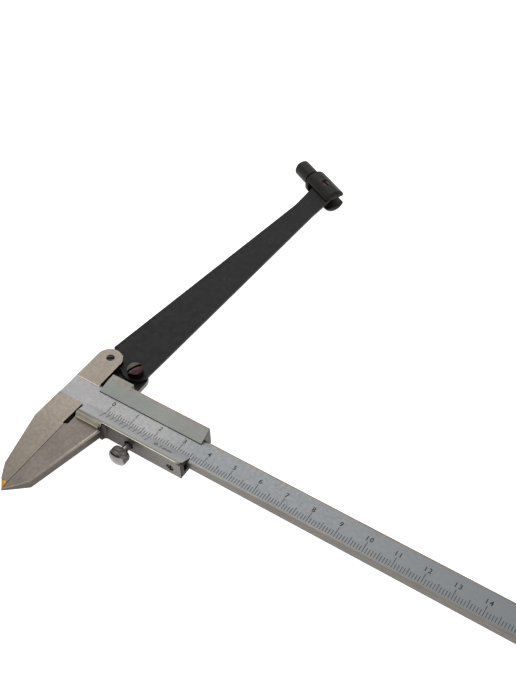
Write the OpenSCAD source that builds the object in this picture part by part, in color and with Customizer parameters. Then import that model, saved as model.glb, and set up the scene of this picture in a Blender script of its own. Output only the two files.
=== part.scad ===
// Marking caliper with a swivelling side arm.
// X runs along the beam from the measuring plane, Y across it away from the jaws,
// Z up out of the scale face. The origin is on the scale face, on the beam's centre line,
// in the plane where the two jaws meet.

/* [Beam] */
// Width of the beam
beam_w = 10.6; // [9:0.1:14]
// Thickness of the beam
beam_t = 3.2; // [2.6:0.1:4.5]
// Opening of the jaws at the end of the travel
travel = 150; // [100:1:200]
// Beam left over past the end stop
beam_tail = 2.6; // [1:0.1:8]
// Width of the bevel along each long edge of the scale face
beam_bevel_w = 0.9; // [0.4:0.1:1.4]
// Depth of that bevel at the beam's side
beam_bevel_h = 0.3; // [0.1:0.05:0.6]

/* [Fixed head] */
// Width of the head at its lug
head_w = 10.2; // [9:0.1:13]
// Width of the head where the fixed jaw starts to taper
head_low_w = 10.9; // [10:0.1:14]
// Rise of the ground head over the scale face
head_rise = 0.2; // [0.1:0.05:0.4]
// Thickness of the lug that carries the stop screw
lug_t = 1.6; // [1.2:0.1:2.2]
// Radius of the lug's round end
lug_r = 4.9; // [4:0.1:5]
// Distance of both lugs' screws from the beam's centre line
lug_y = 17.2; // [15:0.1:20]
// Distance of the screws past the middle of the lugs' round ends
lug_over = 0.8; // [0:0.1:1.5]
// Relief of the lug's side behind the measuring plane
lug_relief = 0.3; // [0.1:0.1:0.8]

/* [Jaws] */
// Reach of the jaws from the beam's centre line to their points
jaw_reach = 46.2; // [40:0.1:60]
// Distance from the centre line at which the jaws start to taper
jaw_shoulder = 17; // [13:0.1:20]
// Width of each jaw at the knee before its point
jaw_knee_w = 6; // [4:0.1:8]
// Length of the point past the knee
jaw_point = 8.6; // [6:0.1:12]
// Length of the hard scriber tip
tip_len = 3.2; // [2:0.1:5]
// Width of the fixed jaw where the tip is let in
tip_w = 2.75; // [1.5:0.05:3.5]
// Thickness left at the jaws' points
point_t = 0.9; // [0.6:0.1:2]
// Width of the relief above the measuring faces
relief_w = 1.2; // [0.6:0.1:2]
// Distance of the relief's lower end from the centre line
relief_y = 14.6; // [12:0.1:16]

/* [Slider] */
// Length of the slider along the beam
slider_len = 43.2; // [36:0.1:60]
// Height of the slider over the scale face
slider_rise = 2.8; // [2:0.1:3.5]
// Thickness of the slider's wall under the beam
back_wall = 1.7; // [1.2:0.1:3]
// Thickness of the side wall that carries the screws
screw_wall = 2.0; // [1.5:0.1:3]
// Space between the beam and that wall, for the gib
gib_space = 1.75; // [1.4:0.05:2.5]
// Thickness of the side wall at the flange
flange_wall = 3.05; // [2.4:0.05:4]
// Distance of the flange's lip from the centre line
lip_y = 3.0; // [2:0.1:4]
// Distance of the vernier's thin edge from the centre line
vernier_y = 2.6; // [1:0.1:3.5]

/* [Screws] */
// Thickness of the gib
gib_t = 1.1; // [0.8:0.05:1.2]
// Distance of the clamp screw from the measuring plane
clamp_x = 23; // [19:0.1:30]
// Diameter of the clamp screw's knurled head
knurl_d = 6.9; // [6:0.1:9]
// Thickness of the clamp screw's head
knurl_h = 3.0; // [2:0.1:4]
// Bare length of the clamp screw between slider and head
clamp_gap = 3.5; // [2:0.1:6]
// Diameter of the clamp screw's shank
clamp_d = 2.5; // [2:0.1:3]
// Diameter of the headless slotted screws
grub_d = 3.0; // [2.5:0.1:3.5]

/* [Arm] */
// Distance between the arm's two pivots
arm_len = 124; // [90:0.1:160]
// Thickness of the arm
arm_t = 1.4; // [1:0.1:2]
// Half the arm's width at its root
arm_root_half = 9.5; // [8.5:0.1:11]
// Half the arm's width at its neck
arm_neck_half = 4.7; // [3.5:0.1:6]
// Radius of the arm's round end in the clevis
arm_eye_r = 5.2; // [4.5:0.1:6]
// Distance of the clevis pin from the arm's middle line
eye_side = 0.5; // [0:0.1:1]
// Lean of the arm at rest from square to the beam
arm_lean = 5.3; // [3:0.1:8]
// Diameter of the pivot screw's shoulder
pivot_d = 3.4; // [3:0.1:4]
// Diameter of the pivot screw's head
pivot_head_d = 5.7; // [5:0.1:7]
// Height of the pivot screw's head
pivot_head_h = 2.9; // [2:0.1:4]

/* [Clevis] */
// Diameter of the clevis
clevis_d = 10.1; // [9:0.1:12]
// Height of the clevis slot
slot_h = 4.6; // [3.6:0.1:5.2]
// Gap between the arm's upper face and the upper prong
slot_gap = 0.6; // [0.4:0.1:1]
// Length of the clevis from its pin to the open end
fork_len = 7.8; // [6:0.1:10]
// Depth of the slot behind the pin
slot_back = 6.6; // [6:0.1:8]
// Solid length between slot and shoulder
clevis_root = 2.9; // [2.5:0.1:8]
// Diameter of the stud
stud_d = 7.1; // [6:0.1:8]
// Length of the stud past its neck
stud_len = 9.2; // [6:0.1:15]
// Turn of the clevis at rest from in line with the arm
clevis_turn = 67.7; // [40:0.1:85]

/* [Clearances] */
// Gap between the beam and the faces that slide on it
slide_clr = 0.08; // [0.05:0.01:0.15]
// Gap between the closed measuring faces
jaw_clr = 0.06; // [0.03:0.01:0.1]
// Gap between flat faces that turn on each other
face_clr = 0.1; // [0.05:0.01:0.2]
// Radial gap of a pivot in its hole
pivot_clr = 0.05; // [0.02:0.01:0.09]

/* [Hidden] */

// Fineness of small and large round shapes
fn_small = 48;
fn_large = 96;
// Overshoot of a cut past the face it opens
over = 1;

half_beam = beam_w / 2;
beam_bottom = -beam_t;
half_band = half_beam - beam_bevel_w;

// Slider faces
slider_x0 = relief_w;
slider_x1 = slider_x0 + slider_len;
slider_front = -half_beam - gib_space - screw_wall;
slider_back = half_beam + slide_clr + flange_wall;
slider_bottom = beam_bottom - slide_clr - back_wall;
slider_h = slider_rise - slider_bottom;
rim_w = 0.5;
vernier_edge = 0.04;
flange_flat = 1.35;
lip_t = 0.35;
corner_r = 2.2;
corner_depth = 1.1;

// End stop
stop_len = 8;
stop_t = 1.2;
stop_gap = 0.2;
stop_x0 = slider_x1 + travel + stop_gap;
beam_end = stop_x0 + stop_len + beam_tail;
stop_screw_pitch = 5;
small_screw_d = 1.6;
small_head_d = 2.8;
small_head_h = 0.7;
small_screw_len = 2.6;

// Lugs: the arm lies between the fixed lug above and the slider's lug below
lug_x = -head_w / 2;
lug_step_y = 11.4;
lug_end_r = min(lug_r, (head_w - lug_relief) / 2);
lug_end_x = -head_w + lug_end_r;
lug_end_y = lug_y - lug_over;
arm_top = head_rise - lug_t - face_clr;
arm_bottom = arm_top - arm_t;
washer_t = 0.2;
slider_lug_top = arm_bottom - washer_t;
slider_lug_r = 4.8;
pivot_thread_d = pivot_d - 0.4;
heel_x = -2.4;
heel_r = 1.2;
heel_gap = 0.2;
pivot_x = slider_x0 + slider_lug_r;
pivot_y = lug_y;
tab_w = pivot_x + slider_lug_r - slider_x0 + 0.4;
tab_y = slider_back + 1.55;

// Screws in the slider's side wall
screw_z = -1.9;
gib_screw_x = slider_x1 - 4.3;
gib_face = -half_beam - slide_clr;
gib_back = gib_face - gib_t;
gib_h = beam_t - 0.3;
gib_end_gap = 1.6;
pad_t = 0.6;
recess_d = 3.7;
recess_h = 0.9;
grub_sink = 0.3;
slot_w = 0.7;
slot_d = 0.8;

// Jaw outline
jaw_bevel_w = 0.9;
jaw_bevel_h = 0.45;
knee_y = -jaw_reach + jaw_point;
tip_root_y = -jaw_reach + tip_len;
root_w = head_low_w + 1.5;
root_y = slider_front - 1.35;
ledge_y = slider_front - 0.75;
fillet_r = 1.5;
// Corners of the sliding jaw's outer side, from its root to its point
jaw_side_top = [jaw_knee_w + 2.7, 19.5 - jaw_reach];
jaw_side_knee = [0.975 * jaw_knee_w, 7 - jaw_reach];
jaw_side_point = [0.36 * jaw_knee_w, 2.5 - jaw_reach];
jaw_root_corner = [root_w, root_y];

// Clevis
clevis_z = arm_top + slot_gap - slot_h / 2;
shoulder_u = -slot_back - clevis_root;
neck_d = stud_d - 1.3;
spigot_d = 4.4;
neck_len = 1.0;
stud_chamfer = 0.8;
end_round = 1.6;
clevis_chamfer = 1.2;
pin_d = 2.6;
pin_head_d = 3.8;
pin_head_h = 1.1;
pin_sink = 0.4;
pin_slot_w = 0.7;
spacer_d = 5.6;
// Place of the arm's middle line and of the clevis pin in the arm's own frame, whose
// origin is the pivot screw
root_u = slider_lug_r - 0.65;
mid_u = root_u - arm_root_half;
eye_u = mid_u - eye_side;
eye_v = sqrt(arm_len * arm_len - eye_u * eye_u);
neck_v = eye_v - 16;
end_v = eye_v - 0.9;

// Solid drawn as a profile across the beam, pushed along the beam from x0 to x1
module along_beam(x0, x1) {
    translate([x0, 0, 0])
        rotate([90, 0, 90])
            linear_extrude(height = x1 - x0)
                children();
}

// Flat plate between two heights
module plate(z0, z1) {
    translate([0, 0, z0])
        linear_extrude(height = z1 - z0)
            children();
}

// Wedge that takes the upper edge off a plate along the line from a to b,
// with the plate on the left of that line
module edge_bevel(a, b, top, w, h) {
    run = norm(b - a);
    turn = atan2(b[1] - a[1], b[0] - a[0]);
    translate([a[0], a[1], top])
        rotate([0, 0, turn])
            translate([-over, 0, 0])
                rotate([90, 0, 90])
                    linear_extrude(height = run + 2 * over)
                        polygon([[w + 0.5 * w, 0.5 * h], [-over, 0.5 * h],
                                 [-over, -h * (1 + over / w)], [w, 0]]);
}

// Screw slot across the end of a screw of diameter d whose end is at z = 0
module screw_slot(d, w, depth) {
    translate([-d, -w / 2, -depth])
        cube([2 * d, w, depth + over]);
}

// Places a screw in the slider's side wall: its end at z = 0 faces out of the wall
module in_side_wall(x, y) {
    translate([x, y, screw_z])
        rotate([90, 0, 0])
            children();
}

// Places what belongs to the arm: origin at the pivot screw, second axis along the arm
module arm_frame() {
    translate([pivot_x, pivot_y, 0])
        rotate([0, 0, -arm_lean])
            children();
}

// Places what belongs to the clevis: origin at its pin, first axis towards the open end
module clevis_frame() {
    arm_frame()
        translate([eye_u, eye_v, clevis_z])
            rotate([0, 0, clevis_turn - 90])
                children();
}

// Turns a profile of length and radius round the clevis axis
module turned() {
    rotate([0, 90, 0])
        rotate_extrude($fn = fn_large)
            children();
}

// Beam, fixed head, fixed jaw and lug, ground from one bar
module beam() {
    color("silver")
    difference() {
        union() {
            translate([-head_w, -half_beam, beam_bottom])
                cube([beam_end + head_w, beam_w, beam_t]);
            plate(beam_bottom, head_rise)
                polygon([[0, half_beam], [-lug_relief, half_beam], [-lug_relief, lug_step_y],
                         [-head_w, lug_step_y], [-head_low_w, -jaw_shoulder],
                         [-jaw_knee_w, knee_y], [-tip_w, tip_root_y], [0, tip_root_y]]);
            plate(head_rise - lug_t, head_rise) {
                translate([-head_w, lug_step_y - over])
                    square([head_w - lug_relief, lug_end_y - lug_step_y + over]);
                translate([lug_end_x, lug_end_y]) circle(r = lug_end_r, $fn = fn_large);
            }
        }
        point_bevel();
        // Scale band, sunk across the head
        translate([-head_low_w - over, -half_band, 0])
            cube([head_low_w + over, 2 * half_band, head_rise + over]);
        // Bevels along the scale face
        for (side = [-1, 1])
            along_beam(0, beam_end + over)
                polygon([[side * half_band, 0], [side * (half_beam + over), over],
                         [side * (half_beam + over), -beam_bevel_h * (1 + over / beam_bevel_w)]]);
        // Threaded hole for the stop screw
        translate([lug_x, lug_y, head_rise - lug_t - over])
            cylinder(d = grub_d, h = lug_t + 2 * over, $fn = fn_small);
        // Threaded holes for the end stop's screws
        for (x = end_stop_xs())
            translate([x, 0, beam_bottom - over])
                cylinder(d = small_screw_d, h = small_screw_len - stop_t + over, $fn = fn_small);
    }
}

function end_stop_xs() = [for (k = [0, 1])
    stop_x0 + (stop_len - stop_screw_pitch) / 2 + k * stop_screw_pitch];

// Slope under the points of both jaws, from the knee to the thickness left at the points
module point_bevel() {
    start_y = knee_y - 1.2;
    rise = beam_t + head_rise - point_t;
    slope = rise / (jaw_reach + start_y);
    along_beam(-head_low_w - over, root_w)
        polygon([[start_y + over, beam_bottom - over * slope],
                 [-jaw_reach - over, beam_bottom + rise + over * slope],
                 [-jaw_reach - over, beam_bottom - over]]);
}

// Hard scriber tip let into the end of the fixed jaw, ground to three facets
module scriber_tip() {
    facet_w = 1.1;
    facet_h = 0.6;
    color("goldenrod")
    difference() {
        plate(beam_bottom, head_rise)
            polygon([[-tip_w, tip_root_y], [0, tip_root_y], [0, -jaw_reach]]);
        edge_bevel([-tip_w, tip_root_y], [0, -jaw_reach], head_rise, facet_w, facet_h);
        edge_bevel([0, -jaw_reach], [0, tip_root_y], head_rise, facet_w / 2, facet_h);
        point_bevel();
    }
}

// Plate under the free end of the beam that keeps the slider on
module end_stop() {
    stop_w = beam_w - 1.2;
    color("silver")
    difference() {
        translate([stop_x0, -stop_w / 2, beam_bottom - stop_t])
            cube([stop_len, stop_w, stop_t]);
        for (x = end_stop_xs())
            translate([x, 0, beam_bottom - stop_t]) {
                translate([0, 0, -over])
                    cylinder(d = small_screw_d, h = stop_t + 2 * over, $fn = fn_small);
                cylinder(d1 = small_head_d, d2 = small_screw_d, h = small_head_h, $fn = fn_small);
            }
    }
}

// Two countersunk slotted screws of the end stop
module end_stop_screws() {
    color("dimgray")
    for (x = end_stop_xs())
        translate([x, 0, beam_bottom - stop_t])
            difference() {
                union() {
                    cylinder(d1 = small_head_d, d2 = small_screw_d, h = small_head_h,
                             $fn = fn_small);
                    cylinder(d = small_screw_d, h = small_screw_len, $fn = fn_small);
                }
                translate([-small_head_d, -0.2, -over])
                    cube([2 * small_head_d, 0.4, over + 0.35]);
            }
}

// Headless slotted screw in the fixed lug: its lower end stops the arm's shoulder
module stop_screw() {
    tip_d = 2.4;
    color("dimgray")
    translate([lug_x, lug_y, 0])
        difference() {
            union() {
                translate([0, 0, head_rise - lug_t])
                    cylinder(d = grub_d, h = lug_t - 0.15, $fn = fn_small);
                translate([0, 0, arm_bottom + 0.2])
                    cylinder(d = tip_d, h = head_rise - lug_t - arm_bottom, $fn = fn_small);
            }
            translate([0, 0, head_rise - 0.15])
                rotate([0, 0, 35])
                    screw_slot(grub_d, slot_w, slot_d);
        }
}

// Outline of the sliding jaw, seen from above
module slider_jaw_outline() {
    relief_slope = 0.6;
    polygon([[jaw_clr, jaw_clr - jaw_reach], jaw_side_point, jaw_side_knee, jaw_side_top,
             jaw_root_corner, [root_w, slider_front + over], [relief_w, slider_front + over],
             [relief_w, relief_slope - relief_y], [jaw_clr, -relief_y]]);
}

// Slider with the sliding jaw, the vernier and the lug under the arm, in one piece
module slider() {
    color("lightsteelblue")
    difference() {
        union() {
            translate([slider_x0, slider_front, slider_bottom])
                cube([slider_len, slider_back - slider_front, slider_h]);
            // Ledge over the jaw's root
            translate([slider_x0, ledge_y, slider_bottom])
                cube([root_w - slider_x0, slider_front - ledge_y + over, slider_h]);
            // Web of the fillet between jaw and side wall
            translate([root_w - over, slider_front - fillet_r, slider_bottom])
                cube([over + fillet_r, fillet_r + over, slider_h - 0.6]);
            // Tab behind the flange, full height
            translate([slider_x0, slider_back - over, slider_bottom])
                cube([tab_w, tab_y - slider_back + over, slider_h]);
            // Lug under the arm, with a heel that reaches under the fixed lug
            plate(slider_bottom, slider_lug_top) {
                translate([pivot_x, lug_end_y]) circle(r = slider_lug_r, $fn = fn_large);
                translate([pivot_x - slider_lug_r, slider_back - over])
                    square([2 * slider_lug_r, lug_end_y - slider_back + over]);
                hull()
                    for (y = [lug_step_y + heel_gap + heel_r, lug_end_y])
                        translate([heel_x + heel_r, y]) {
                            circle(r = heel_r, $fn = fn_small);
                            translate([0, -heel_r]) square([slider_lug_r, 2 * heel_r]);
                        }
            }
            // Jaw
            difference() {
                plate(beam_bottom, head_rise) slider_jaw_outline();
                edge_bevel(jaw_side_top, jaw_root_corner, head_rise, jaw_bevel_w, jaw_bevel_h);
                edge_bevel(jaw_side_knee, jaw_side_top, head_rise, jaw_bevel_w, jaw_bevel_h);
                point_bevel();
            }
        }
        // Window over the scale, with the vernier's and the flange's slopes
        along_beam(-over, slider_x1 + over)
            polygon([[slider_front + rim_w, slider_rise + over], [slider_front + rim_w, slider_rise],
                     [-vernier_y, slide_clr + vernier_edge], [-vernier_y, -over], [lip_y, -over],
                     [lip_y, lip_t], [slider_back - flange_flat, slider_rise],
                     [slider_back - flange_flat, slider_rise + over]]);
        // Channel for beam and gib
        along_beam(-over, slider_x1 + over)
            polygon([[-half_beam - gib_space, slide_clr], [half_beam + slide_clr, slide_clr],
                     [half_beam + slide_clr, beam_bottom - slide_clr],
                     [-half_beam - gib_space, beam_bottom - slide_clr]]);
        // Round corner of the vernier plate
        translate([slider_x1 - corner_r, slider_front, slider_rise - corner_depth])
            difference() {
                translate([0, -over, 0]) cube([corner_r + over, corner_r + over, corner_depth + over]);
                translate([0, corner_r, -over]) cylinder(r = corner_r, h = corner_depth + 3 * over,
                                                         $fn = fn_large);
            }
        // Fillet between jaw and side wall
        translate([root_w + fillet_r, slider_front - fillet_r, slider_bottom - over])
            cylinder(r = fillet_r, h = slider_h + 2 * over, $fn = fn_large);
        // Threaded hole and recess of the clamp screw
        in_side_wall(clamp_x, slider_front) {
            translate([0, 0, -screw_wall - over])
                cylinder(d = clamp_d + 2 * pivot_clr, h = screw_wall + 2 * over, $fn = fn_small);
            translate([0, 0, -recess_h]) cylinder(d = recess_d, h = recess_h + over, $fn = fn_small);
        }
        // Threaded hole of the gib screw
        in_side_wall(gib_screw_x, slider_front)
            translate([0, 0, -screw_wall - over])
                cylinder(d = grub_d, h = screw_wall + 2 * over, $fn = fn_small);
        // Threaded hole of the pivot screw
        translate([pivot_x, pivot_y, slider_bottom - over])
            cylinder(d = pivot_thread_d, h = slider_lug_top - slider_bottom + 2 * over,
                     $fn = fn_small);
    }
}

// Spring strip between the beam's edge and the screws
module gib() {
    color("darkgoldenrod")
    difference() {
        translate([slider_x0 + gib_end_gap, gib_back, beam_bottom / 2 - gib_h / 2])
            cube([slider_len - 2 * gib_end_gap, gib_t, gib_h]);
        // Seat of the gib screw's point
        in_side_wall(gib_screw_x, gib_back)
            cylinder(d = grub_d - 1, h = 0.5, center = true, $fn = fn_small);
    }
}

// Headless slotted screw that sets the gib
module gib_screw() {
    head_y = slider_front + grub_sink;
    full = head_y - gib_back;
    color("dimgray")
    in_side_wall(gib_screw_x, head_y)
        difference() {
            union() {
                translate([0, 0, full + 0.2]) cylinder(d = grub_d, h = -full - 0.2, $fn = fn_small);
                translate([0, 0, full - 0.25]) cylinder(d = grub_d - 1, h = 1, $fn = fn_small);
            }
            rotate([0, 0, 75]) screw_slot(grub_d, slot_w - 0.1, slot_d);
        }
}

// Brass pad between the clamp screw and the gib
module clamp_pad() {
    color("goldenrod")
    in_side_wall(clamp_x, gib_back)
        cylinder(d = clamp_d, h = pad_t, $fn = fn_small);
}

// Knurled clamp screw
module clamp_screw() {
    head_y = slider_front - clamp_gap;
    shank_end = gib_back - pad_t;
    flutes = 30;
    flute_w = 0.42;
    chamfer = 0.3;
    dome = 0.8;
    knurl_r = knurl_d / 2;
    face_r = knurl_r - chamfer;
    dome_r = (face_r * face_r + dome * dome) / (2 * dome);
    dome_turn = asin(face_r / dome_r);
    dome_steps = 12;
    color("gainsboro")
    in_side_wall(clamp_x, head_y) {
        translate([0, 0, head_y - shank_end])
            cylinder(d = clamp_d, h = shank_end - head_y, $fn = fn_small);
        difference() {
            rotate_extrude($fn = fn_large)
                polygon(concat([[0, 0], [face_r, 0], [knurl_r, chamfer], [knurl_r, knurl_h - chamfer]],
                    [for (k = [dome_steps : -1 : 0])
                        let (a = dome_turn * k / dome_steps)
                        [dome_r * sin(a), knurl_h + dome - dome_r * (1 - cos(a))]]));
            for (k = [0 : flutes - 1])
                rotate([0, 0, k * 360 / flutes])
                    translate([knurl_r, 0, -over])
                        rotate([0, 0, 45])
                            translate([-flute_w / 2, -flute_w / 2, 0])
                                cube([flute_w, flute_w, knurl_h + 2 * over]);
        }
    }
}

// Slotted cheese-head shoulder screw that carries the arm
module pivot_screw() {
    slot_turn = 63.6;
    color("saddlebrown")
    translate([pivot_x, pivot_y, 0])
        difference() {
            union() {
                translate([0, 0, slider_bottom + 0.2])
                    cylinder(d = pivot_thread_d, h = slider_lug_top - slider_bottom - 0.2, $fn = fn_small);
                translate([0, 0, slider_lug_top])
                    cylinder(d = pivot_d, h = arm_top + face_clr - slider_lug_top, $fn = fn_small);
                translate([0, 0, arm_top + face_clr])
                    rotate_extrude($fn = fn_large)
                        polygon([[0, 0], [pivot_head_d / 2, 0], [pivot_head_d / 2, pivot_head_h - 0.3],
                                 [pivot_head_d / 2 - 0.3, pivot_head_h], [0, pivot_head_h + 0.1]]);
            }
            translate([0, 0, arm_top + face_clr + pivot_head_h])
                rotate([0, 0, slot_turn])
                    screw_slot(pivot_head_d, 0.9, 1.3);
        }
}

// Thin washer between the arm and the slider's lug
module pivot_washer() {
    washer_d = 7;
    color("dimgray")
    translate([pivot_x, pivot_y, slider_lug_top])
        difference() {
            cylinder(d = washer_d, h = washer_t - 0.05, $fn = fn_large);
            translate([0, 0, -over])
                cylinder(d = pivot_d + 0.1, h = washer_t + 2 * over, $fn = fn_small);
        }
}

// Outline of the arm in its own frame: round eye, neck, taper, shoulder and round root
module arm_outline() {
    root_left = -6.1;
    root_r = (root_u - root_left) / 2;
    round_u = (root_u + root_left) / 2;
    round_v = 1.4;
    shoulder_v = 4;
    left_u = mid_u - arm_root_half;
    polygon([[root_u, round_v], [mid_u + arm_neck_half, neck_v], [mid_u - arm_neck_half, neck_v],
             [left_u, shoulder_v + 0.6], [left_u + 0.6, shoulder_v], [round_u - root_r, shoulder_v],
             [round_u - root_r, round_v]]);
    polygon([[mid_u + arm_neck_half, neck_v - 1], [mid_u + arm_neck_half, neck_v],
             [eye_u + arm_eye_r, end_v], [eye_u - arm_eye_r, end_v],
             [mid_u - arm_neck_half, neck_v], [mid_u - arm_neck_half, neck_v - 1]]);
    translate([eye_u, end_v]) circle(r = arm_eye_r, $fn = fn_large);
    translate([round_u, round_v]) circle(r = root_r, $fn = fn_large);
}

// Tapered arm of blackened spring steel
module arm() {
    color("#343436")
    arm_frame()
        difference() {
            plate(arm_bottom, arm_top) arm_outline();
            translate([0, 0, arm_bottom - over])
                cylinder(d = pivot_d + 2 * pivot_clr, h = arm_t + 2 * over, $fn = fn_small);
            translate([eye_u, eye_v, arm_bottom - over])
                cylinder(d = pin_d + 2 * pivot_clr, h = arm_t + 2 * over, $fn = fn_small);
        }
}

// Forked clevis that swivels on the arm's end
module clevis() {
    clevis_r = clevis_d / 2;
    color("#2b2a26")
    clevis_frame()
        difference() {
            rotate([0, 90, 0])
                rotate_extrude($fn = fn_large)
                    difference() {
                        translate([0, shoulder_u]) square([clevis_r, fork_len - shoulder_u]);
                        // Chamfer at the shoulder
                        polygon([[clevis_r - clevis_chamfer, shoulder_u - over],
                                 [clevis_r + over, shoulder_u - over],
                                 [clevis_r + over, shoulder_u + clevis_chamfer + over],
                                 [clevis_r, shoulder_u + clevis_chamfer],
                                 [clevis_r - clevis_chamfer, shoulder_u]]);
                        // Round at the open end
                        difference() {
                            translate([clevis_r - end_round, fork_len - end_round])
                                square(end_round + over);
                            translate([clevis_r - end_round, fork_len - end_round])
                                circle(r = end_round, $fn = fn_large);
                        }
                    }
            // Slot for the arm
            translate([-slot_back, -clevis_d, -slot_h / 2])
                cube([slot_back + fork_len + over, 2 * clevis_d, slot_h]);
            // Hole of the pin screw, with its counterbore
            translate([0, 0, -clevis_r - over])
                cylinder(d = pin_d, h = clevis_d + 2 * over, $fn = fn_small);
            translate([0, 0, clevis_r - pin_head_h - pin_sink])
                cylinder(d = pin_head_d, h = pin_head_h + over, $fn = fn_small);
            // Bore for the stud's spigot, through to the slot
            translate([shoulder_u - over, 0, 0])
                rotate([0, 90, 0])
                    cylinder(d = spigot_d, h = clevis_root + 2 * over, $fn = fn_small);
        }
}

// Stud with its neck and the spigot that sits in the clevis
module stud() {
    neck_u = shoulder_u - neck_len;
    stud_end = neck_u - stud_len;
    color("#33312c")
    clevis_frame()
        rotate([0, 90, 0])
            rotate_extrude($fn = fn_large)
                polygon([[0, stud_end], [stud_d / 2 - stud_chamfer, stud_end],
                         [stud_d / 2, stud_end + stud_chamfer], [stud_d / 2, neck_u],
                         [neck_d / 2, neck_u], [neck_d / 2, shoulder_u],
                         [spigot_d / 2, shoulder_u], [spigot_d / 2, -slot_back - 0.2],
                         [0, -slot_back - 0.2]]);
}

// Slotted screw that pins the arm in the clevis
module clevis_screw() {
    clevis_r = clevis_d / 2;
    seat = clevis_r - pin_head_h - pin_sink;
    head_d = pin_head_d - 0.2;
    color("saddlebrown")
    clevis_frame()
        difference() {
            union() {
                translate([0, 0, -clevis_r + 0.5])
                    cylinder(d = pin_d, h = seat + clevis_r - 0.5, $fn = fn_small);
                translate([0, 0, seat]) cylinder(d = head_d, h = pin_head_h, $fn = fn_small);
            }
            translate([0, 0, seat + pin_head_h])
                rotate([0, 0, 60])
                    screw_slot(pin_head_d, pin_slot_w, 0.6);
        }
}

// Ring round the clevis screw, from its lower face to its upper face
module ring_on_pin(z0, z1) {
    clevis_frame()
        translate([0, 0, z0])
            difference() {
                cylinder(d = spacer_d, h = z1 - z0, $fn = fn_small);
                translate([0, 0, -over])
                    cylinder(d = pin_d, h = z1 - z0 + 2 * over, $fn = fn_small);
            }
}

// Washer between the arm and the upper prong
module clevis_washer() {
    color("dimgray")
    ring_on_pin(slot_h / 2 - slot_gap + face_clr, slot_h / 2);
}

// Spacer between the arm and the lower prong
module clevis_spacer() {
    color("dimgray")
    ring_on_pin(-slot_h / 2, slot_h / 2 - slot_gap - arm_t - face_clr);
}

beam();
scriber_tip();
end_stop();
end_stop_screws();
stop_screw();
slider();
gib();
gib_screw();
clamp_pad();
clamp_screw();
pivot_screw();
pivot_washer();
arm();
clevis();
stud();
clevis_screw();
clevis_washer();
clevis_spacer();
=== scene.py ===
"""Looks of the marking caliper: ground and satin steel, blackened arm and clevis, engraved scales.

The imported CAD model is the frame. Its visible pieces are rebuilt with their edges broken, the clamp
screw is turned and knurled anew, and the engraving is added as pieces of its own.
"""

import logging
import math
from collections.abc import Callable, Iterable
from dataclasses import dataclass, field
from enum import Enum

import bmesh
import bpy
from mathutils import Matrix, Vector


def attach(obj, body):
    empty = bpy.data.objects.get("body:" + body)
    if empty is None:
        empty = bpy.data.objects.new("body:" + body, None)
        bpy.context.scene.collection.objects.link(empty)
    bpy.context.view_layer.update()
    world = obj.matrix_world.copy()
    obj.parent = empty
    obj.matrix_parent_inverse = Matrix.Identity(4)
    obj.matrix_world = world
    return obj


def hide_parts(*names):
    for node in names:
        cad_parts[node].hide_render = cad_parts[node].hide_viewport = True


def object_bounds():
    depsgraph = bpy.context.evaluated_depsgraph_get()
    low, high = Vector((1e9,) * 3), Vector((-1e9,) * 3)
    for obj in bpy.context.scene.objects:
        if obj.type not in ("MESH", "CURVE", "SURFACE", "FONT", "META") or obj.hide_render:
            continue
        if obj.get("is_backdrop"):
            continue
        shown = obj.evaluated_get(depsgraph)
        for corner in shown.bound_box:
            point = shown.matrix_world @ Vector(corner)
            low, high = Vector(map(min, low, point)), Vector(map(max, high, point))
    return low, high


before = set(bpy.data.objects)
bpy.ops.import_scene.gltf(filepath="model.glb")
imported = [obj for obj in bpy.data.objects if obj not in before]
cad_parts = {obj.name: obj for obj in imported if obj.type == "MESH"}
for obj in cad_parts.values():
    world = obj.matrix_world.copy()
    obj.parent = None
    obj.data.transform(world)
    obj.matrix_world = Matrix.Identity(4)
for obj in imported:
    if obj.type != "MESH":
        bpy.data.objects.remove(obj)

LOG = logging.getLogger("marking_caliper")
MM = 0.001
IMAGE_SIZE = (516, 688)

NEAR = 0.06  # mm within which a corner counts as lying on a line
WELD = 1e-7  # m within which a cut takes a corner that is there already
FLAT = 0.9  # share of one axis in the normal of a face that is about square to it
STEEP = 0.7  # the same for a face that leans by up to 45 degrees
TILTED = 0.5  # the same for a face that leans by up to 60 degrees
SMOOTH_DEG = 40.0  # an edge that turns by more than this stays sharp
EVEN = (1.0, 1.0, 1.0)
HAZE = (0.35, 0.65)  # part of a noise over which one tone turns into the other
POLISH = (0.3, 0.7)  # part of a noise over which dull turns into shiny
MIX_FACTOR, MIX_FIRST, MIX_SECOND, MIX_RESULT = 0, 6, 7, 2  # a colour mix node's sockets
TYPE_HEIGHT = 0.73  # height of a figure in a type of size 1
PIVOT_AT = (6.0, 17.2)  # the arm's pivot in mm

Pair = tuple[float, float]
Triple = tuple[float, float, float]
NodeSpec = dict[str | int, object]


class Axis(Enum):
    """The caliper's axes: along the beam, across it, and out of the scale."""

    X = 0
    Y = 1
    Z = 2


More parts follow.
